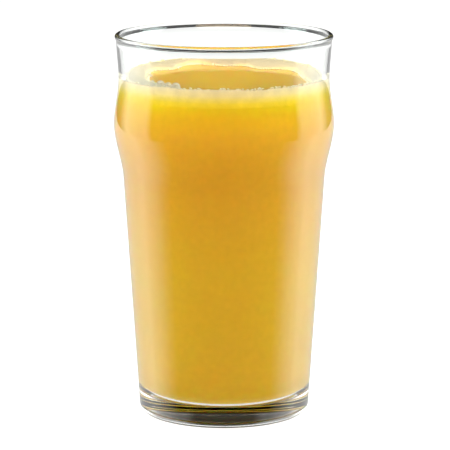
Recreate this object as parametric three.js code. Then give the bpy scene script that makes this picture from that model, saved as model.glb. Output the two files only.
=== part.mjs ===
// A pint tumbler of orange juice: a clear pressed glass with the grip bulge below its rim,
// the juice that fills it, and the uneven ring of froth that stands on the juice along the wall.
// Millimetres, +Z up. The origin is the middle of the foot, on the surface that the glass stands on.
import * as THREE from "three";

// Glass: stations of the outer wall, each a height, a radius and the wall's slope there
const glassHeight = 150;
const bodyFoot = { z: 8, r: 33.6 };
const bodyTop = { z: 94, r: 39.3 };
const bulge = { z: 115, r: 42.87, slope: 0 };
const neck = { z: 133, r: 41.0, slope: 0 };
const lipFoot = { z: 147.4, r: 41.85, slope: 0.02 };
const bodySlope = (bodyTop.r - bodyFoot.r) / (bodyTop.z - bodyFoot.z);
bodyFoot.slope = bodySlope;
bodyTop.slope = bodySlope;
const outerStations = [bodyFoot, bodyTop, bulge, neck, lipFoot];

// Glass: thickness of the wall at three heights, the lip, the heel and the floor
const wallAtFoot = 3.0;
const wallAtNeck = 2.3;
const wallAtLip = 1.5;
const lipThickness = 2.0;
const lipOverhang = 0.6;
const heelRadius = 4;
const bearingWidth = 3;
const puntDepth = 0.8;
const floorHeight = 8.0;
const floorFillet = 10;

// Juice and froth
const juiceLevel = 131;
const fittingGap = 0.3;
const frothHeight = 2.4;
const frothLeastWidth = 1.6;
const frothEdgeHeight = 0.5;
// Where the froth spreads further over the juice: azimuth and spread in degrees, extra width in mm
const frothLobes = [
  { azimuth: 218, spread: 17, width: 9.5 },
  { azimuth: 176, spread: 20, width: 6.5 },
  { azimuth: 131, spread: 8, width: 6 },
  { azimuth: 90, spread: 9, width: 5.6 },
  { azimuth: 60, spread: 11, width: 8.7 },
  { azimuth: 8, spread: 20, width: 5.5 },
];

// Facets
const roundSegments = 64;
const wallSteps = [2, 5, 5, 3];
const arcSteps = 4;
const filletSteps = 8;
const lipSteps = 6;

const glassMaterial = new THREE.MeshStandardMaterial({
  color: 0xeef2f0,
  roughness: 0.05,
  metalness: 0,
  transparent: true,
  opacity: 0.35,
});
const juiceMaterial = new THREE.MeshStandardMaterial({
  color: 0xe0a326,
  roughness: 0.25,
  metalness: 0,
});
const frothMaterial = new THREE.MeshStandardMaterial({
  color: 0xf3e0a8,
  roughness: 0.6,
  metalness: 0,
});

// Cubic that leaves one station and reaches the next with their slopes
function cubicRadius(from, to, z) {
  const span = to.z - from.z;
  const t = (z - from.z) / span;
  const rise = t * t * (3 - 2 * t);
  const leaving = t * (1 - t) * (1 - t) * span * from.slope;
  const reaching = t * t * (t - 1) * span * to.slope;
  return from.r + (to.r - from.r) * rise + leaving + reaching;
}

function outerRadius(z) {
  const last = outerStations.length - 2;
  const i = outerStations.findIndex((s, n) => n === last || z <= outerStations[n + 1].z);
  return cubicRadius(outerStations[i], outerStations[i + 1], z);
}

function wallThickness(z) {
  if (z > neck.z) {
    return THREE.MathUtils.mapLinear(z, neck.z, lipFoot.z, wallAtNeck, wallAtLip);
  }
  return THREE.MathUtils.mapLinear(z, floorHeight, neck.z, wallAtFoot, wallAtNeck);
}

function innerRadius(z) {
  return outerRadius(z) - wallThickness(z);
}

// Heights where the wall has a ring of corners, from the foot of the body up to the lip
function wallHeights() {
  const heights = [bodyFoot.z];
  wallSteps.forEach((steps, i) => {
    const low = outerStations[i].z;
    const high = outerStations[i + 1].z;
    for (let k = 1; k <= steps; k++) {
      heights.push(low + ((high - low) * k) / steps);
    }
  });
  return heights;
}

function arc(centreR, centreZ, radius, fromDeg, toDeg, steps) {
  const points = [];
  for (let k = 0; k <= steps; k++) {
    const a = THREE.MathUtils.degToRad(fromDeg + ((toDeg - fromDeg) * k) / steps);
    points.push(new THREE.Vector2(centreR + radius * Math.cos(a), centreZ + radius * Math.sin(a)));
  }
  return points;
}

// The inside of the glass moved inwards by a gap: floor, fillet, then the wall up to a height
function insideOutline(gap, top) {
  const floor = floorHeight + gap;
  const fillet = floorFillet - gap;
  const filletTop = floor + fillet;
  const filletR = innerRadius(filletTop) - gap - fillet;
  const outline = [new THREE.Vector2(0, floor)];
  outline.push(...arc(filletR, filletTop, fillet, -90, 0, filletSteps));
  for (const z of wallHeights()) {
    if (z > filletTop + 1 && z < top - 1) {
      outline.push(new THREE.Vector2(innerRadius(z) - gap, z));
    }
  }
  outline.push(new THREE.Vector2(innerRadius(top) - gap, top));
  return outline;
}

// Underside with its dished punt, bearing ring and rounded heel, then the wall up to the lip
function outsideOutline() {
  const heelR = bodyFoot.r - bodySlope * (bodyFoot.z - heelRadius) - heelRadius;
  const puntR = heelR - bearingWidth;
  const outline = [];
  for (let k = 0; k < arcSteps; k++) {
    const share = k / arcSteps;
    outline.push(new THREE.Vector2(puntR * share, puntDepth * (1 - share * share)));
  }
  outline.push(new THREE.Vector2(puntR, 0));
  outline.push(...arc(heelR, heelRadius, heelRadius, -90, 0, arcSteps));
  for (const z of wallHeights()) {
    outline.push(new THREE.Vector2(outerRadius(z), z));
  }
  return outline;
}

// Fire-polished lip: a bead a little thicker than the wall, standing proud of it on the outside
function lipOutline() {
  const bead = lipThickness / 2;
  return arc(lipFoot.r + lipOverhang - bead, glassHeight - bead, bead, -20, 200, lipSteps);
}

function turned(outline) {
  return new THREE.LatheGeometry(outline, roundSegments).rotateX(Math.PI / 2);
}

function makeGlass() {
  const inside = insideOutline(0, lipFoot.z).reverse();
  const outline = [...outsideOutline(), ...lipOutline(), ...inside];
  const glass = new THREE.Mesh(turned(outline), glassMaterial);
  glass.name = "glass";
  return glass;
}

function makeJuice() {
  const outline = [...insideOutline(fittingGap, juiceLevel), new THREE.Vector2(0, juiceLevel)];
  const juice = new THREE.Mesh(turned(outline), juiceMaterial);
  juice.name = "juice";
  return juice;
}

// How far the froth reaches in from the wall at an azimuth
function frothWidth(azimuthDeg) {
  let width = frothLeastWidth;
  for (const lobe of frothLobes) {
    const away = THREE.MathUtils.euclideanModulo(azimuthDeg - lobe.azimuth + 180, 360) - 180;
    width += lobe.width * Math.exp(-((away / lobe.spread) ** 2) / 2);
  }
  return width;
}

// A ring turned with a section one unit wide, then spread inwards by the width at each azimuth
function makeFroth() {
  const base = juiceLevel + fittingGap;
  const wallR = innerRadius(base) - fittingGap;
  const section = [new THREE.Vector2(wallR - 1, base), new THREE.Vector2(wallR, base)];
  for (let k = 0; k <= arcSteps; k++) {
    const share = k / arcSteps;
    const dome = Math.sqrt(1 - share * share);
    const top = base + frothEdgeHeight + (frothHeight - frothEdgeHeight) * dome;
    section.push(new THREE.Vector2(wallR - share, top));
  }
  section.push(section[0].clone());
  const ring = turned(section);
  const corners = ring.getAttribute("position");
  for (let i = 0; i < corners.count; i++) {
    const azimuth = Math.atan2(corners.getY(i), corners.getX(i));
    const share = wallR - Math.hypot(corners.getX(i), corners.getY(i));
    const r = wallR - share * frothWidth(THREE.MathUtils.radToDeg(azimuth));
    corners.setXY(i, r * Math.cos(azimuth), r * Math.sin(azimuth));
  }
  const froth = new THREE.Mesh(ring, frothMaterial);
  froth.name = "froth";
  return froth;
}

const glassOfJuice = new THREE.Group();
glassOfJuice.add(makeGlass(), makeJuice(), makeFroth());

export default glassOfJuice;
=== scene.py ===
# A pint tumbler of orange juice: clear glass, cloudy juice, its ring of froth and the bubbles along it.
# Sizes in the settings are in mm unless a note says otherwise; Blender's own units are metres.
import math
import random
import bpy
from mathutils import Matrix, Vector, noise


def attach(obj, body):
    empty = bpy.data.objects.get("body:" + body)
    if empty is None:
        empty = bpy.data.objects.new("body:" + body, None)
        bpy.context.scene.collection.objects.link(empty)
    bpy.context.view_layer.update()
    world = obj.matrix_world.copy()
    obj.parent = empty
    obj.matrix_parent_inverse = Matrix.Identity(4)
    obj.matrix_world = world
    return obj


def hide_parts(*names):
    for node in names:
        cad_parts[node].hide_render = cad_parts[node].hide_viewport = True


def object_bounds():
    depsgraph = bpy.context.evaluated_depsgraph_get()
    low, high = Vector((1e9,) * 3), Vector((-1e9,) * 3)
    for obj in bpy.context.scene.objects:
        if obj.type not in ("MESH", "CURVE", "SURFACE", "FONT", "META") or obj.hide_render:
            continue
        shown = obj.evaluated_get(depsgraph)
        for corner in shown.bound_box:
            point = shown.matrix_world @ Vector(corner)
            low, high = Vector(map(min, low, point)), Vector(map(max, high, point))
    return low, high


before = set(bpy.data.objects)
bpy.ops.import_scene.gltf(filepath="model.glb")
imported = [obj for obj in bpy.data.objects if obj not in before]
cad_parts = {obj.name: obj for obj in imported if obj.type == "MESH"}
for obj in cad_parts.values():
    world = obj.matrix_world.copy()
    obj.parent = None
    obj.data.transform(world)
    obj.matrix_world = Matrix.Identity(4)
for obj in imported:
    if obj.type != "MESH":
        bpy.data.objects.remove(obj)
cadLow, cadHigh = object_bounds()
mm = 0.001
weldDistance = 0.001 * mm
noiseLow, noiseHigh = 0.3, 0.7  # most values of a noise texture lie between these
random.seed(7)  # the same bubbles and beads each time


# Tools for modelling and for materials

def turnOutline(name, outline, segments, capped):
    # a ring that is extruded and scaled from point to point of an outline of (radius, height)
    startR, startZ = outline[0]
    bpy.ops.object.select_all(action="DESELECT")
    bpy.ops.mesh.primitive_circle_add(
        vertices=segments,
        radius=startR * mm,
        fill_type="TRIFAN" if capped else "NOTHING",
        location=(0, 0, startZ * mm),
    )
    piece = bpy.context.object
    piece.name = name
    bpy.ops.object.transform_apply(location=True)
    bpy.ops.object.mode_set(mode="EDIT")
    bpy.ops.mesh.select_mode(type="EDGE")
    if capped:
        bpy.ops.mesh.select_all(action="DESELECT")
        bpy.ops.mesh.select_non_manifold()
    for (lastR, lastZ), (r, z) in zip(outline, outline[1:]):
        bpy.ops.mesh.extrude_edges_indiv()
        bpy.ops.transform.translate(value=(0, 0, (z - lastZ) * mm))
        bpy.ops.transform.resize(value=(r / lastR, r / lastR, 1), center_override=(0, 0, z * mm))
    if capped:
        bpy.ops.mesh.extrude_edges_indiv()
        bpy.ops.mesh.merge(type="CENTER")
    bpy.ops.mesh.select_all(action="SELECT")
    bpy.ops.mesh.remove_doubles(threshold=weldDistance)
    bpy.ops.mesh.normals_make_consistent(inside=False)
    bpy.ops.object.mode_set(mode="OBJECT")
    return piece


def arcPoints(centreR, centreZ, radius, fromDeg, toDeg, steps):
    angles = [math.radians(fromDeg + (toDeg - fromDeg) * k / steps) for k in range(steps + 1)]
    return [(centreR + radius * math.cos(a), centreZ + radius * math.sin(a)) for a in angles]


def evenly(low, high, spacing):
    count = math.ceil(abs(high - low) / spacing)
    return [low + (high - low) * k / count for k in range(count + 1)]


def smoothByAngle(piece, degrees):
    bpy.ops.object.select_all(action="DESELECT")
    piece.select_set(True)
    bpy.context.view_layer.objects.active = piece
    bpy.ops.object.shade_smooth_by_angle(angle=math.radians(degrees))


def hexToLinear(colour):
    channels = [int(colour[i:i + 2], 16) / 255 for i in (1, 3, 5)]
    linear = [c / 12.92 if c <= 0.04045 else ((c + 0.055) / 1.055) ** 2.4 for c in channels]
    return (*linear, 1)


def addNode(tree, kind, settings=None, links=None):
    # a key is one of the node's own settings or one of its inputs, and stops are those of a colour ramp
    node = tree.nodes.new("ShaderNode" + kind)
    for key, value in (settings or {}).items():
        if key == "stops":
            ramp = node.color_ramp.elements
            ramp.remove(ramp[1])
            for k, (place, colour) in enumerate(value):
                stop = ramp[0] if k == 0 else ramp.new(place)
                stop.position = place
                stop.color = hexToLinear(colour)
        elif isinstance(key, str) and hasattr(node, key):
            setattr(node, key, value)
        else:
            node.inputs[key].default_value = value
    for key, socket in (links or {}).items():
        tree.links.new(socket, node.inputs[key])
    return node


def startMaterial(name):
    material = bpy.data.materials.new(name)
    material.use_nodes = True
    material.node_tree.nodes.clear()
    return material, material.node_tree


# Glass

glassSettings = {
    "segments": 192,
    "ringSpacing": 2.0,
    "floorSpacing": 6.0,  # between the rings of the floor
    "puntSpacing": 3.0,  # between the rings of the dished underside
    "filletSteps": 18,
    "heelSteps": 10,
    "lipSteps": 14,
    "smoothAngle": 40,  # degrees
    "height": cadHigh.z / mm,
    "bodyFoot": (8, 33.6),  # height and radius, as are the next four
    "bodyTop": (94, 39.3),
    "bulge": (115, cadHigh.x / mm),
    "neck": (133, 41.0),
    "lipFoot": (147.4, 41.85),
    "lipSlope": 0.02,
    "wallAtFloor": 3.0,
    "wallAtNeck": 2.3,
    "wallAtLip": 1.5,
    "lipThickness": 2.0,
    "lipOverhang": 0.6,
    "lipArc": (-20, 200),  # degrees, from the outside over the top to the inside
    "heelRadius": 4,
    "bearingWidth": 3,
    "puntDepth": 0.8,
    "floorHeight": 8.0,
    "floorFillet": 10,
    "axisRing": 2.0,  # radius of the smallest ring round the axis
    "ior": 1.52,
    "colour": "#FBFDFC",
    "rippleSize": 14,  # from crest to crest
    "rippleDepth": 0.2,
}


def bodySlope():
    (footZ, footR), (topZ, topR) = glassSettings["bodyFoot"], glassSettings["bodyTop"]
    return (topR - footR) / (topZ - footZ)


def outerRadius(z):
    # a cubic that leaves one station of the wall and reaches the next with their slopes
    slopes = {"bodyFoot": bodySlope(), "bodyTop": bodySlope(), "bulge": 0, "neck": 0}
    slopes["lipFoot"] = glassSettings["lipSlope"]
    names = list(slopes)
    k = 0
    while k < len(names) - 2 and z > glassSettings[names[k + 1]][0]:
        k += 1
    (lowZ, lowR), (highZ, highR) = glassSettings[names[k]], glassSettings[names[k + 1]]
    span = highZ - lowZ
    t = (z - lowZ) / span
    rise = t * t * (3 - 2 * t)
    leaving = t * (1 - t) * (1 - t) * span * slopes[names[k]]
    reaching = t * t * (t - 1) * span * slopes[names[k + 1]]
    return lowR + (highR - lowR) * rise + leaving + reaching


def innerRadius(z):
    floorZ = glassSettings["floorHeight"]
    neckZ = glassSettings["neck"][0]
    lipZ = glassSettings["lipFoot"][0]
    if z > neckZ:
        share = (z - neckZ) / (lipZ - neckZ)
        wall = glassSettings["wallAtNeck"] * (1 - share) + glassSettings["wallAtLip"] * share
    else:
        share = (z - floorZ) / (neckZ - floorZ)
        wall = glassSettings["wallAtFloor"] * (1 - share) + glassSettings["wallAtNeck"] * share
    return outerRadius(z) - wall


def insideOutline(reach, top):
    # from the axis over the floor and its fillet and up the wall, reaching into the glass
    floorZ = glassSettings["floorHeight"] - reach
    fillet = glassSettings["floorFillet"] + reach
    filletTop = floorZ + fillet
    filletR = innerRadius(filletTop) + reach - fillet
    floorRings = evenly(glassSettings["axisRing"], filletR, glassSettings["floorSpacing"])
    wallRings = evenly(filletTop, top, glassSettings["ringSpacing"])
    outline = [(r, floorZ) for r in floorRings]
    outline += arcPoints(filletR, filletTop, fillet, -90, 0, glassSettings["filletSteps"])[1:]
    outline += [(innerRadius(z) + reach, z) for z in wallRings[1:]]
    return outline


def buildGlass():
    footZ, footR = glassSettings["bodyFoot"]
    lipZ, lipR = glassSettings["lipFoot"]
    heel = glassSettings["heelRadius"]
    heelR = footR - bodySlope() * (footZ - heel) - heel
    puntR = heelR - glassSettings["bearingWidth"]
    bead = glassSettings["lipThickness"] / 2
    beadR = lipR + glassSettings["lipOverhang"] - bead
    beadZ = glassSettings["height"] - bead
    beadFrom, beadTo = glassSettings["lipArc"]
    dish = [r / puntR for r in evenly(glassSettings["axisRing"], puntR, glassSettings["puntSpacing"])]
    outline = [(puntR * share, glassSettings["puntDepth"] * (1 - share * share)) for share in dish]
    outline += arcPoints(heelR, heel, heel, -90, 0, glassSettings["heelSteps"])
    outline += [(outerRadius(z), z) for z in evenly(footZ, lipZ, glassSettings["ringSpacing"])]
    outline += arcPoints(beadR, beadZ, bead, beadFrom, beadTo, glassSettings["lipSteps"])
    outline += reversed(insideOutline(0, lipZ))
    piece = turnOutline("drinkingGlass", outline, glassSettings["segments"], True)
    smoothByAngle(piece, glassSettings["smoothAngle"])
    return piece


def pressedGlass():
    # clear soda-lime glass, pressed and fire-polished: colourless, with a faint ripple in its skin
    material, tree = startMaterial("pressedSodaLimeGlass")
    coords = addNode(tree, "TexCoord")
    waves = addNode(
        tree,
        "TexNoise",
        {"Scale": 1 / (glassSettings["rippleSize"] * mm), "Detail": 1},
        {"Vector": coords.outputs["Object"]},
    )
    bump = addNode(
        tree,
        "Bump",
        {"Strength": 0.03, "Distance": glassSettings["rippleDepth"] * mm},
        {"Height": waves.outputs["Fac"]},
    )
    shader = addNode(
        tree,
        "BsdfPrincipled",
        {
            "Base Color": hexToLinear(glassSettings["colour"]),
            "Roughness": 0,
            "IOR": glassSettings["ior"],
            "Transmission Weight": 1,
        },
        {"Normal": bump.outputs["Normal"]},
    )
    addNode(tree, "OutputMaterial", None, {"Surface": shader.outputs["BSDF"]})
    return material


# Juice

juiceSettings = {
    "segments": 160,
    "level": 131,
    "reach": 0.4,  # into the wall, so that no air shows
    "topRings": 4,
    "smoothAngle": 40,  # degrees
    "openFacing": 0.9,  # faces whose normals rise more than this are the open surface
    "ior": 1.34,
    "scatter": 1.0,  # how far red light wanders in the juice
    "scatterShares": (1.0, 0.4, 0.15),  # red, green and blue against that
    "colours": [  # height and colour, from the floor of the glass up; the pale yellow near the top is painted light from above
        (9, "#E3BB3C"),
        (25, "#E5C03A"),
        (60, "#E7C236"),
        (95, "#E7B734"),
        (115, "#F0C035"),
        (122, "#F5CC33"),
        (126, "#F9D92E"),
        (128.3, "#FFE265"),
        (131, "#FDE99C"),
    ],
    "pulpSize": 2.5,
    "pulpStrength": (0.97, 1.03),  # brightness of the darkest and the palest pulp
    "surface": "#E2B202",
    "swellSize": 9.0,
    "swellDepth": 0.2,
    "swellStrength": (0.96, 1.04),  # brightness where the surface is low and where it is high
}


def buildJuice():
    level = juiceSettings["level"]
    outline = insideOutline(juiceSettings["reach"], level)
    edgeR = outline[-1][0]
    topRings = evenly(edgeR, glassSettings["axisRing"], edgeR / juiceSettings["topRings"])
    outline += [(r, level) for r in topRings[1:]]
    piece = turnOutline("orangeJuice", outline, juiceSettings["segments"], True)
    smoothByAngle(piece, juiceSettings["smoothAngle"])
    piece.data.materials.append(cloudyJuice())
    piece.data.materials.append(juiceTop())
    for face in piece.data.polygons:
        if face.normal.z > juiceSettings["openFacing"]:
            face.material_index = 1
    return piece


def cloudyJuice():
    # strained orange juice against glass: cloudy and lit from inside, and painted paler towards the
    # froth as painted light from above;
    # light that runs along the thick floor of the glass is mirrored where it meets the juice
    material, tree = startMaterial("cloudyOrangeJuice")
    floorZ, level = juiceSettings["colours"][0][0], juiceSettings["level"]
    stops = [((z - floorZ) / (level - floorZ), colour) for z, colour in juiceSettings["colours"]]
    coords = addNode(tree, "TexCoord")
    place = addNode(tree, "SeparateXYZ", None, {"Vector": coords.outputs["Object"]})
    height = addNode(
        tree,
        "MapRange",
        {"From Min": floorZ * mm, "From Max": level * mm},
        {"Value": place.outputs["Z"]},
    )
    # painted light: the colour ramp grows paler and yellower towards the top, as if lit from above
    colour = addNode(tree, "ValToRGB", {"stops": stops}, {"Fac": height.outputs["Result"]})
    pulp = addNode(
        tree,
        "TexNoise",
        {"Scale": 1 / (juiceSettings["pulpSize"] * mm), "Detail": 3},
        {"Vector": coords.outputs["Object"]},
    )
    darkest, palest = juiceSettings["pulpStrength"]
    strength = addNode(
        tree,
        "MapRange",
        {"From Min": noiseLow, "From Max": noiseHigh, "To Min": darkest, "To Max": palest},
        {"Value": pulp.outputs["Fac"]},
    )
    mottled = addNode(
        tree,
        "HueSaturation",
        None,
        {"Color": colour.outputs["Color"], "Value": strength.outputs["Result"]},
    )
    shader = addNode(
        tree,
        "BsdfPrincipled",
        {
            "Roughness": 0.5,
            "IOR": juiceSettings["ior"],
            "Specular IOR Level": 0,
            "Subsurface Weight": 1,
            "Subsurface Radius": juiceSettings["scatterShares"],
            "Subsurface Scale": juiceSettings["scatter"] * mm,
        },
        {"Base Color": mottled.outputs["Color"]},
    )
    mirrored = addNode(tree, "Fresnel", {"IOR": juiceSettings["ior"] / glassSettings["ior"]})
    mirror = addNode(tree, "BsdfAnisotropic", {"Roughness": 0})
    surface = addNode(
        tree,
        "MixShader",
        None,
        {"Fac": mirrored.outputs["Fac"], 1: shader.outputs["BSDF"], 2: mirror.outputs["BSDF"]},
    )
    addNode(tree, "OutputMaterial", None, {"Surface": surface.outputs["Shader"]})
    return material


def juiceTop():
    # the open surface of the same juice: wet and smooth, with a faint swell and cloudy patches
    material, tree = startMaterial("wetJuiceSurface")
    coords = addNode(tree, "TexCoord")
    swell = addNode(
        tree,
        "TexNoise",
        {"Scale": 1 / (juiceSettings["swellSize"] * mm), "Detail": 1},
        {"Vector": coords.outputs["Object"]},
    )
    bump = addNode(
        tree,
        "Bump",
        {"Strength": 0.1, "Distance": juiceSettings["swellDepth"] * mm},
        {"Height": swell.outputs["Fac"]},
    )
    darkest, palest = juiceSettings["swellStrength"]
    strength = addNode(
        tree,
        "MapRange",
        {"From Min": noiseLow, "From Max": noiseHigh, "To Min": darkest, "To Max": palest},
        {"Value": swell.outputs["Fac"]},
    )
    colour = addNode(
        tree,
        "HueSaturation",
        {"Color": hexToLinear(juiceSettings["surface"])},
        {"Value": strength.outputs["Result"]},
    )
    shader = addNode(
        tree,
        "BsdfPrincipled",
        {
            "Roughness": 0.08,
            "IOR": juiceSettings["ior"],
            "Subsurface Weight": 1,
            "Subsurface Radius": juiceSettings["scatterShares"],
            "Subsurface Scale": juiceSettings["scatter"] * mm,
        },
        {"Base Color": colour.outputs["Color"], "Normal": bump.outputs["Normal"]},
    )
    addNode(tree, "OutputMaterial", None, {"Surface": shader.outputs["BSDF"]})
    return material


# Froth

frothSettings = {
    "segments": 320,
    "sink": 5.0,  # how far its skirt runs down the wall into the juice
    "reach": 0.46,  # into the wall, just past the juice
    "height": 2.4,
    "edgeHeight": 0.3,
    "leastWidth": 1.6,
    "domeSteps": 8,
    "skirtStep": 1.0,
    "smoothAngle": 60,  # degrees
    "lobes": [  # azimuth and spread in degrees, extra width in mm
        (218, 17, 9.5),
        (176, 20, 6.5),
        (131, 8, 6.0),
        (90, 9, 5.6),
        (60, 11, 8.7),
        (8, 20, 5.5),
    ],
    "rippleSize": 5.0,
    "ripple": 0.9,
    "swellSize": 9.0,
    "swell": 0.5,
    "lumpSize": 1.6,
    "lump": 0.22,
    "sideColours": [  # height and colour against the glass, where froth thins out into the juice
        (126, "#F8D826"),
        (128, "#FCE347"),
        (129.5, "#FEEB7C"),
        (131, "#FFF0AC"),
        (133.4, "#FFF2D0"),
    ],
    # painted shade: the upward-facing top of the froth is painted darker than its sides
    "topShadeColour": "#C5B99B",
    "topShadeFacing": (0.2, 0.7),  # the painted shade of the top takes over as normals rise from the first to the second
    "edgeHighlightColour": "#FFF8E6",  # painted highlight along the free edge on the juice
    "edgeHighlightDepth": 20,  # a face has all the painted highlight where the axis is this far in front of it
    "pitSize": 0.7,  # coarser than the finest bubbles, so that it shows
    "pitDepth": 0.15,
    "patchSize": 4.0,
    "patchStrength": (0.93, 1.05),  # brightness of the dullest and the palest patches
}


def frothWidth(azimuth):
    width = frothSettings["leastWidth"]
    for centre, spread, extra in frothSettings["lobes"]:
        away = (math.degrees(azimuth) - centre + 180) % 360 - 180
        width += extra * math.exp(-((away / spread) ** 2) / 2)
    return width


def buildFroth():
    # a skirt along the wall and a dome one mm wide, then spread inwards by the width at each azimuth
    level = juiceSettings["level"]
    base = level - frothSettings["sink"]
    low = level + frothSettings["edgeHeight"]
    dome = level + frothSettings["height"] - low
    wallR = innerRadius(level) + frothSettings["reach"]
    shares = [k / frothSettings["domeSteps"] for k in range(frothSettings["domeSteps"] + 1)]
    skirt = evenly(base, level, frothSettings["skirtStep"])
    outline = [(innerRadius(z) + frothSettings["reach"], z) for z in skirt]
    outline += [(wallR - share, low + dome * math.sqrt(1 - share * share)) for share in shares]
    outline += [(wallR - 1, base), outline[0]]
    piece = turnOutline("juiceFroth", outline, frothSettings["segments"], False)
    for vertex in piece.data.vertices:
        azimuth = math.atan2(vertex.co.y, vertex.co.x)
        share = wallR - vertex.co.xy.length / mm
        ripple = noise.noise(vertex.co.xy.to_3d().normalized() * wallR / frothSettings["rippleSize"])
        if share > 0:
            r = (wallR - share * (frothWidth(azimuth) + ripple * frothSettings["ripple"])) * mm
            vertex.co.x = r * math.cos(azimuth)
            vertex.co.y = r * math.sin(azimuth)
        if vertex.co.z > level * mm:
            swell = noise.noise(vertex.co / (frothSettings["swellSize"] * mm)) * frothSettings["swell"]
            lump = noise.noise(vertex.co / (frothSettings["lumpSize"] * mm)) * frothSettings["lump"]
            vertex.co.z += (swell + lump) * mm
    smoothByAngle(piece, frothSettings["smoothAngle"])
    return piece


def fineFroth():
    # froth whipped from the juice: pale, dense and matt, pitted with bubbles too small to model;
    # it is yellow where it thins out against the glass, with painted shade on its upward-facing top and
    # a painted highlight along its free edge
    material, tree = startMaterial("paleJuiceFroth")
    coords = addNode(tree, "TexCoord")
    pits = addNode(
        tree,
        "TexVoronoi",
        {"Scale": 1 / (frothSettings["pitSize"] * mm)},
        {"Vector": coords.outputs["Object"]},
    )
    patches = addNode(
        tree,
        "TexNoise",
        {"Scale": 1 / (frothSettings["patchSize"] * mm), "Detail": 2},
        {"Vector": coords.outputs["Object"]},
    )
    place = addNode(tree, "SeparateXYZ", None, {"Vector": coords.outputs["Object"]})
    foot = frothSettings["sideColours"][0][0]
    head = frothSettings["sideColours"][-1][0]
    stops = [((z - foot) / (head - foot), colour) for z, colour in frothSettings["sideColours"]]
    height = addNode(
        tree,
        "MapRange",
        {"From Min": foot * mm, "From Max": head * mm},
        {"Value": place.outputs["Z"]},
    )
    paler = addNode(tree, "ValToRGB", {"stops": stops}, {"Fac": height.outputs["Result"]})
    facing = addNode(tree, "SeparateXYZ", None, {"Vector": coords.outputs["Normal"]})
    steep, flat = frothSettings["topShadeFacing"]
    upwards = addNode(
        tree,
        "MapRange",
        {"From Min": steep, "From Max": flat},
        {"Value": facing.outputs["Z"]},
    )
    # painted shade: faces that look upwards take the darker top colour
    topShaded = addNode(
        tree,
        "Mix",
        {"data_type": "RGBA", 7: hexToLinear(frothSettings["topShadeColour"])},
        {0: upwards.outputs["Result"], 6: paler.outputs["Color"]},
    )
    # painted highlight: faces that look in towards the axis take the whiter edge colour
    outwards = addNode(
        tree,
        "VectorMath",
        {"operation": "DOT_PRODUCT"},
        {0: coords.outputs["Normal"], 1: coords.outputs["Object"]},
    )
    inwards = addNode(
        tree,
        "MapRange",
        {"From Min": 0, "From Max": -frothSettings["edgeHighlightDepth"] * mm},
        {"Value": outwards.outputs["Value"]},
    )
    highlightedEdge = addNode(
        tree,
        "Mix",
        {"data_type": "RGBA", 7: hexToLinear(frothSettings["edgeHighlightColour"])},
        {0: inwards.outputs["Result"], 6: topShaded.outputs[2]},
    )
    dullest, palest = frothSettings["patchStrength"]
    strength = addNode(
        tree,
        "MapRange",
        {"From Min": noiseLow, "From Max": noiseHigh, "To Min": dullest, "To Max": palest},
        {"Value": patches.outputs["Fac"]},
    )
    colour = addNode(
        tree,
        "HueSaturation",
        None,
        {"Color": highlightedEdge.outputs[2], "Value": strength.outputs["Result"]},
    )
    bump = addNode(
        tree,
        "Bump",
        {"Strength": 0.5, "Distance": frothSettings["pitDepth"] * mm},
        {"Height": pits.outputs["Distance"]},
    )
    shader = addNode(
        tree,
        "BsdfPrincipled",
        {"Roughness": 0.6, "IOR": juiceSettings["ior"], "Specular IOR Level": 0.1},
        {"Base Color": colour.outputs["Color"], "Normal": bump.outputs["Normal"]},
    )
    addNode(tree, "OutputMaterial", None, {"Surface": shader.outputs["BSDF"]})
    return material


# Bubbles

bubbleSettings = {
    "segments": 16,
    "rings": 10,
    "film": 0.03,  # share of the radius, as are the next three
    "collar": 0.16,  # radius of the froth gathered round its foot
    "sink": 0.25,  # how far its middle is above the surface
    "stray": (-0.5, 1.2),  # least and most distance in from the froth's edge
    "crowding": 2,  # the higher, the more of them are small
    "runs": [  # from and to azimuth in degrees, how many, least and most radius in mm
        (206, 240, 26, 0.7, 1.9),
        (240, 262, 12, 0.4, 0.9),
        (160, 204, 10, 0.4, 1.0),
    ],
    "patchSize": 1.0,
    "colours": [(0.35, "#FFF0CC"), (0.65, "#FFFAEA")],  # value of the noise and colour
}


def buildBubble():
    # a thin dome of film with a collar of froth round its foot, one mm in radius
    bpy.ops.object.select_all(action="DESELECT")
    bpy.ops.mesh.primitive_uv_sphere_add(
        segments=bubbleSettings["segments"],
        ring_count=bubbleSettings["rings"],
        radius=mm,
    )
    bubble = bpy.context.object
    bpy.ops.object.mode_set(mode="EDIT")
    bpy.ops.mesh.select_all(action="SELECT")
    bpy.ops.mesh.bisect(
        plane_co=(0, 0, -bubbleSettings["sink"] * mm),
        plane_no=(0, 0, 1),
        clear_inner=True,
    )
    bpy.ops.object.mode_set(mode="OBJECT")
    bpy.ops.object.modifier_add(type="SOLIDIFY")
    bubble.modifiers["Solidify"].thickness = bubbleSettings["film"] * mm
    bpy.ops.object.modifier_apply(modifier="Solidify")
    bpy.ops.object.shade_smooth()
    bubble.data.materials.append(bubbleFilm())
    bpy.ops.object.select_all(action="DESELECT")
    bpy.ops.mesh.primitive_torus_add(
        major_segments=bubbleSettings["segments"],
        minor_segments=bubbleSettings["rings"],
        major_radius=math.sqrt(1 - bubbleSettings["sink"] ** 2) * mm,
        minor_radius=bubbleSettings["collar"] * mm,
        location=(0, 0, -bubbleSettings["sink"] * mm),
    )
    collar = bpy.context.object
    bpy.ops.object.shade_smooth()
    collar.data.materials.append(beadFroth())
    bubble.select_set(True)
    bpy.context.view_layer.objects.active = bubble
    bpy.ops.object.join()
    return bubble


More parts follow.
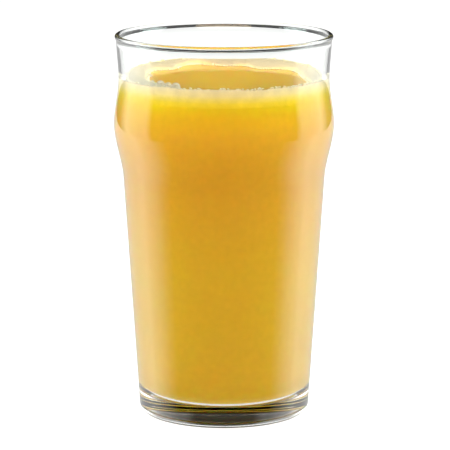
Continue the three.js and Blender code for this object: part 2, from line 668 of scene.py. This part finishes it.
def joinCopies(name, pattern, places):
    # a place is an azimuth, a distance from the axis, a height and a radius
    copies = []
    for azimuth, r, z, radius in places:
        copy = pattern.copy()
        copy.data = pattern.data.copy()
        copy.scale = (radius, radius, radius)
        copy.location = Vector((r * math.cos(azimuth), r * math.sin(azimuth), z)) * mm
        bpy.context.collection.objects.link(copy)
        copies.append(copy)
    bpy.data.objects.remove(pattern)
    bpy.ops.object.select_all(action="DESELECT")
    for copy in copies:
        copy.select_set(True)
    bpy.context.view_layer.objects.active = copies[0]
    bpy.ops.object.join()
    bpy.ops.object.transform_apply(location=True, rotation=True, scale=True)
    piece = bpy.context.object
    piece.name = name
    return piece


def buildBubbles():
    level = juiceSettings["level"]
    places = []
    for fromDeg, toDeg, count, least, most in bubbleSettings["runs"]:
        for _ in range(count):
            azimuth = math.radians(random.uniform(fromDeg, toDeg))
            radius = least + (most - least) * random.random() ** bubbleSettings["crowding"]
            inwards = frothWidth(azimuth) + random.uniform(*bubbleSettings["stray"]) * radius
            height = level + bubbleSettings["sink"] * radius
            places.append((azimuth, innerRadius(level) - inwards, height, radius))
    return joinCopies("frothBubbles", buildBubble(), places)


def bubbleFilm():
    # thin wet films of juice: half clear, with bright rims, and creamier in patches
    material, tree = startMaterial("wetBubbleFilm")
    coords = addNode(tree, "TexCoord")
    patches = addNode(
        tree,
        "TexNoise",
        {"Scale": 1 / (bubbleSettings["patchSize"] * mm)},
        {"Vector": coords.outputs["Object"]},
    )
    colour = addNode(
        tree,
        "ValToRGB",
        {"stops": bubbleSettings["colours"]},
        {"Fac": patches.outputs["Fac"]},
    )
    shader = addNode(
        tree,
        "BsdfPrincipled",
        {"Roughness": 0.05, "IOR": juiceSettings["ior"], "Transmission Weight": 0.6},
        {"Base Color": colour.outputs["Color"]},
    )
    addNode(tree, "OutputMaterial", None, {"Surface": shader.outputs["BSDF"]})
    return material


# Beads of froth

beadSettings = {
    "segments": 8,
    "rings": 6,
    "flat": 0.85,  # height against width
    "spacing": 0.6,
    "jitter": 0.5,  # share of the spacing that one may be out of its place
    "sizes": (0.2, 0.6),  # least and most radius
    "spread": 0.5,  # how far they stray from the froth's inner edge
    "lift": 0.4,  # share of the radius that the middle of one is above the juice
    "leastFroth": 3.0,  # only froth at least this wide has them along its edge
    "wallShare": 0.7,  # how many steps round have one where the froth climbs the wall
    "wallLift": (-0.3, 0.4),  # least and most height of those above the froth
    "patchSize": 1.5,
    "colours": [(0.35, "#EEDCA8"), (0.65, "#FFF4D8")],  # value of the noise and colour
    "scatter": 0.6,
    "scatterShares": (1.0, 0.9, 0.7),  # red, green and blue against that
}


def buildBead():
    bpy.ops.object.select_all(action="DESELECT")
    bpy.ops.mesh.primitive_uv_sphere_add(
        segments=beadSettings["segments"],
        ring_count=beadSettings["rings"],
        radius=mm,
    )
    bead = bpy.context.object
    bpy.ops.object.mode_set(mode="EDIT")
    bpy.ops.mesh.select_all(action="SELECT")
    bpy.ops.transform.resize(value=(1, 1, beadSettings["flat"]))
    bpy.ops.object.mode_set(mode="OBJECT")
    bpy.ops.object.shade_smooth()
    return bead


def buildBeads():
    level = juiceSettings["level"]
    wallR = innerRadius(level)
    least, most = beadSettings["sizes"]
    jitter = beadSettings["jitter"]
    steps = round(2 * math.pi * wallR / beadSettings["spacing"])
    places = []
    for k in range(steps):
        azimuth = 2 * math.pi * (k + random.uniform(-jitter, jitter)) / steps
        width = frothWidth(azimuth)
        radius = least + (most - least) * random.random()
        strayed = random.uniform(-1, 1) * beadSettings["spread"]
        if width > beadSettings["leastFroth"]:
            height = level + beadSettings["lift"] * radius
            places.append((azimuth, wallR - width + strayed, height, radius))
        if random.random() < beadSettings["wallShare"]:
            radius = random.uniform(least, most)
            height = level + frothSettings["height"] + random.uniform(*beadSettings["wallLift"])
            places.append((azimuth, wallR - radius, height, radius))
    return joinCopies("frothBeads", buildBead(), places)


def beadFroth():
    # single small bubbles crowded together: whiter and wetter than the froth behind them
    material, tree = startMaterial("wetFrothBeads")
    coords = addNode(tree, "TexCoord")
    patches = addNode(
        tree,
        "TexNoise",
        {"Scale": 1 / (beadSettings["patchSize"] * mm)},
        {"Vector": coords.outputs["Object"]},
    )
    colour = addNode(
        tree,
        "ValToRGB",
        {"stops": beadSettings["colours"]},
        {"Fac": patches.outputs["Fac"]},
    )
    shader = addNode(
        tree,
        "BsdfPrincipled",
        {
            "Roughness": 0.15,
            "IOR": juiceSettings["ior"],
            "Subsurface Weight": 1,
            "Subsurface Radius": beadSettings["scatterShares"],
            "Subsurface Scale": beadSettings["scatter"] * mm,
        },
        {"Base Color": colour.outputs["Color"]},
    )
    addNode(tree, "OutputMaterial", None, {"Surface": shader.outputs["BSDF"]})
    return material


# Studio

studioSettings = {
    "floorRadius": 8.0,  # metres, as are the other sizes here
    "floorSides": 96,
    "floorDrop": 0.0002,
    "floorColour": "#787878",
    "floorGlow": 1.0,
    "backdrop": "#FAFAFA",  # what the camera sees behind the glass
    "scrims": {  # degrees round the glass from the viewer's side, and how bright the scrim is there
        "radiance": 2.8,
        "lowStops": [
            (64, "#050505"),
            (69, "#616161"),
            (75, "#8E8E8E"),
            (81, "#B5B5B5"),
            (87, "#D1D1D1"),
            (94, "#E7E7E7"),
            (108, "#FFFFFF"),
            (117, "#EFEFEF"),
            (126, "#D9D9D9"),
            (138, "#C4C4C4"),
            (155, "#A8A8A8"),
            (170, "#8C8C8C"),
            (180, "#6A6A6A"),
        ],
        "highStops": [
            (81, "#101010"),
            (89, "#E6E6E6"),
            (122, "#E6E6E6"),
            (132, "#9A9A9A"),
            (138, "#5E5E5E"),
            (144, "#484848"),
            (160, "#484848"),
            (166, "#202020"),
        ],
        "edge": (-0.055, -0.045),  # sines of the elevations between the low part and the high part
        "edgeDip": 0.27,  # how much lower that edge is towards the viewer
        "fade": (0.2, 0.4),  # sines of the elevations between which the high part ends in the dark
        "fadeEnd": 0.02,  # radiance that is left there
    },
    "softboxes": {  # the mirrored ones show in the glass as highlights
        "topSoftbox": {
            "place": (0, -0.2, 1.0),
            "size": (0.9, 0.9),
            "colour": "#FFFFFF",
            "radiance": 1.2,
            "mirrored": True,
        },
        "frontSoftbox": {
            "place": (0, -1.3, 1.05),
            "size": (1.6, 0.9),
            "colour": "#FFE3BE",
            "radiance": 7.0,
            "mirrored": False,
        },
        "rightSoftbox": {
            "place": (1.05, 0.1, 0.74),
            "size": (0.7, 0.5),
            "colour": "#EFFFFB",
            "radiance": 13.7,
            "mirrored": False,
        },
        "leftSoftbox": {
            "place": (-1.05, 0.1, 0.74),
            "size": (0.7, 0.5),
            "colour": "#EFFFFB",
            "radiance": 12.6,
            "mirrored": False,
        },
    },
}


def buildFloor():
    bpy.ops.object.select_all(action="DESELECT")
    bpy.ops.mesh.primitive_circle_add(
        vertices=studioSettings["floorSides"],
        radius=studioSettings["floorRadius"],
        fill_type="NGON",
        location=(0, 0, -studioSettings["floorDrop"]),
    )
    floor = bpy.context.object
    floor.name = "paleFloor"
    floor.visible_glossy = False
    material, tree = startMaterial("paleStudioFloor")
    shader = addNode(
        tree,
        "BsdfPrincipled",
        {
            "Base Color": hexToLinear(studioSettings["floorColour"]),
            "Roughness": 0.8,
            "Emission Color": hexToLinear("#FFFFFF"),
            "Emission Strength": studioSettings["floorGlow"],
        },
    )
    addNode(tree, "OutputMaterial", None, {"Surface": shader.outputs["BSDF"]})
    floor.data.materials.append(material)
    return floor


def addSoftbox(name, box):
    light = bpy.data.lights.new(name, "AREA")
    light.shape = "RECTANGLE"
    light.size, light.size_y = box["size"]
    light.color = hexToLinear(box["colour"])[:3]
    light.normalize = False
    light.energy = box["radiance"] * math.pi
    lamp = bpy.data.objects.new(name, light)
    lamp.location = box["place"]
    middle = Vector((0, 0, cadHigh.z / 2))
    lamp.rotation_euler = (middle - lamp.location).to_track_quat("-Z", "Y").to_euler()
    lamp.visible_glossy = box["mirrored"]
    bpy.context.collection.objects.link(lamp)


def buildWorld():
    # white to look at, and for the glass a dark surround with a bright scrim on either side
    world = bpy.data.worlds.new("studioSurround")
    bpy.context.scene.world = world
    world.use_nodes = True
    tree = world.node_tree
    tree.nodes.clear()
    scrims = studioSettings["scrims"]
    coords = addNode(tree, "TexCoord")
    way = addNode(tree, "SeparateXYZ", None, {"Vector": coords.outputs["Generated"]})
    aside = addNode(tree, "Math", {"operation": "ABSOLUTE"}, {0: way.outputs["X"]})
    towards = addNode(tree, "Math", {"operation": "MULTIPLY", 1: -1}, {0: way.outputs["Y"]})
    azimuth = addNode(
        tree,
        "Math",
        {"operation": "ARCTAN2"},
        {0: aside.outputs[0], 1: towards.outputs[0]},
    )
    share = addNode(tree, "Math", {"operation": "DIVIDE", 1: math.pi}, {0: azimuth.outputs[0]})
    lowStops = [(degrees / 180, colour) for degrees, colour in scrims["lowStops"]]
    highStops = [(degrees / 180, colour) for degrees, colour in scrims["highStops"]]
    lowGlow = addNode(tree, "ValToRGB", {"stops": lowStops}, {"Fac": share.outputs[0]})
    highGlow = addNode(tree, "ValToRGB", {"stops": highStops}, {"Fac": share.outputs[0]})
    halfAzimuth = addNode(tree, "Math", {"operation": "MULTIPLY", 1: 0.5}, {0: azimuth.outputs[0]})
    dip = addNode(tree, "Math", {"operation": "COSINE"}, {0: halfAzimuth.outputs[0]})
    raised = addNode(
        tree,
        "Math",
        {"operation": "MULTIPLY_ADD", 1: scrims["edgeDip"]},
        {0: dip.outputs[0], 2: way.outputs["Z"]},
    )
    edgeLow, edgeHigh = scrims["edge"]
    rising = addNode(
        tree,
        "MapRange",
        {"From Min": edgeLow, "From Max": edgeHigh},
        {"Value": raised.outputs[0]},
    )
    fadeLow, fadeHigh = scrims["fade"]
    fading = addNode(
        tree,
        "MapRange",
        {
            "From Min": fadeLow,
            "From Max": fadeHigh,
            "To Min": scrims["radiance"],
            "To Max": scrims["fadeEnd"],
        },
        {"Value": way.outputs["Z"]},
    )
    lowPart = addNode(
        tree,
        "Background",
        {"Strength": scrims["radiance"]},
        {"Color": lowGlow.outputs["Color"]},
    )
    highPart = addNode(
        tree,
        "Background",
        None,
        {"Color": highGlow.outputs["Color"], "Strength": fading.outputs["Result"]},
    )
    surround = addNode(
        tree,
        "MixShader",
        None,
        {
            "Fac": rising.outputs["Result"],
            1: lowPart.outputs["Background"],
            2: highPart.outputs["Background"],
        },
    )
    seen = addNode(tree, "Background", {"Color": hexToLinear(studioSettings["backdrop"])})
    path = addNode(tree, "LightPath")
    mix = addNode(
        tree,
        "MixShader",
        None,
        {
            "Fac": path.outputs["Is Camera Ray"],
            1: surround.outputs["Shader"],
            2: seen.outputs["Background"],
        },
    )
    addNode(tree, "OutputWorld", None, {"Surface": mix.outputs["Shader"]})


cameraSettings = {
    "right": 0.39,
    "away": 1145.5,
    "height": 290.7,
    "pitch": 10.69,  # degrees downwards
    "lens": 237.6,
    "sensor": 36,
}


def buildCamera():
    data = bpy.data.cameras.new("photoView")
    data.lens = cameraSettings["lens"]
    data.sensor_width = cameraSettings["sensor"]
    camera = bpy.data.objects.new("photoView", data)
    place = Vector((cameraSettings["right"], -cameraSettings["away"], cameraSettings["height"]))
    camera.location = place * mm
    camera.rotation_euler = (math.radians(90 - cameraSettings["pitch"]), 0, 0)
    bpy.context.collection.objects.link(camera)
    bpy.context.scene.camera = camera


# Assembly

drinkingGlass = buildGlass()
drinkingGlass.data.materials.append(pressedGlass())
print("glass", len(drinkingGlass.data.polygons), "faces")

orangeJuice = buildJuice()
print("juice", len(orangeJuice.data.polygons), "faces")

juiceFroth = buildFroth()
juiceFroth.data.materials.append(fineFroth())
print("froth", len(juiceFroth.data.polygons), "faces")

frothBubbles = buildBubbles()
print("bubbles", len(frothBubbles.data.polygons), "faces")

frothBeads = buildBeads()
frothBeads.data.materials.append(beadFroth())
print("beads", len(frothBeads.data.polygons), "faces")

for piece, node, slot in (
    (drinkingGlass, "glass", "clear_glass"),
    (orangeJuice, "juice", "orange_juice"),
    (juiceFroth, "froth", "juice_froth"),
):
    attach(piece, "root")
    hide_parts(node)
for piece in (frothBubbles, frothBeads):
    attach(piece, "root")

buildFloor()
for name, box in studioSettings["softboxes"].items():
    addSoftbox(name, box)
buildWorld()
buildCamera()
bpy.context.scene.view_settings.view_transform = "Standard"
print("studio ready")
